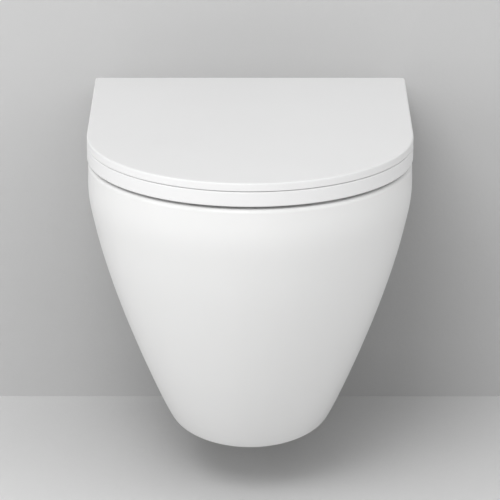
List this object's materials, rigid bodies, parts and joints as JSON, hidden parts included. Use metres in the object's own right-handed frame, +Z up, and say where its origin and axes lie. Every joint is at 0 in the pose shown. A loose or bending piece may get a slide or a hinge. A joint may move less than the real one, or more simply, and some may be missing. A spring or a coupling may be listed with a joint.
{
  "type": "wall-hung toilet",
  "caption": "Wall-hung toilet: hollow glazed pan with rimless bowl, trap and hidden wall fixings, and a slim D-shaped seat and lid that tip up on soft-close hinges.",
  "frame": {"origin": "in the plane of the wall, midway between the two wall studs that carry the pan", "axes": "+Z up, +Y into the wall, +X to the right as seen from the front; the pan stands out towards -Y"},
  "size_m": [0.36, 0.52, 0.3598],
  "materials": {
    "ceramic": "glossy",
    "seat_plastic": "glossy",
    "white_plastic": "satin",
    "polished_metal": "polished",
    "steel": "satin",
    "brass": "satin",
    "rubber": "matte",
    "nylon": "matte"
  },
  "bodies": {
    "pan": {"flush_guide": "white_plastic", "left_barrel_sleeve": "nylon", "left_base_gasket": "rubber", "left_base_plate": "polished_metal", "left_clamp_nut": "brass", "left_expansion_plug": "rubber", "left_fixing_barrel": "steel", "left_fixing_block": "ceramic", "left_fixing_screw": "steel", "left_grub_screw": "steel", "left_hinge_block": "polished_metal", "left_hinge_post": "steel", "left_screw_cap": "white_plastic", "lid_damper_rotor": "nylon", "lid_pivot_pin": "steel", "pan_bowl": "ceramic", "pan_flush_way": "ceramic", "pan_shell": "ceramic", "pan_trap": "ceramic", "right_barrel_sleeve": "nylon", "right_base_gasket": "rubber", "right_base_plate": "polished_metal", "right_clamp_nut": "brass", "right_expansion_plug": "rubber", "right_fixing_barrel": "steel", "right_fixing_block": "ceramic", "right_fixing_screw": "steel", "right_grub_screw": "steel", "right_hinge_block": "polished_metal", "right_hinge_post": "steel", "right_screw_cap": "white_plastic", "seat_damper_rotor": "nylon", "seat_pivot_pin": "steel"},
    "seat": {"seat_damper_body": "nylon", "seat_damper_cap": "nylon", "seat_front_buffers": "rubber", "seat_pivot_bush": "nylon", "seat_rear_buffers": "rubber", "seat_ring": "seat_plastic"},
    "lid": {"lid": "seat_plastic", "lid_damper_body": "nylon", "lid_damper_cap": "nylon", "lid_front_buffers": "rubber", "lid_pivot_bush": "nylon", "lid_rear_buffers": "rubber"}
  },
  "joints": [
    {"name": "seat_hinge", "type": "hinge", "parent": "pan", "child": "seat", "pos_m": [0, -0.1005, 0.0932], "axis": [-1, 0, 0], "range_deg": [0, 100]},
    {"name": "lid_hinge", "type": "hinge", "parent": "pan", "child": "lid", "pos_m": [0, -0.1005, 0.0932], "axis": [-1, 0, 0], "range_deg": [0, 100]}
  ],
  "couplings": [
    {"joint": "lid_hinge", "follows": "seat_hinge", "ratio": 1}
  ]
}
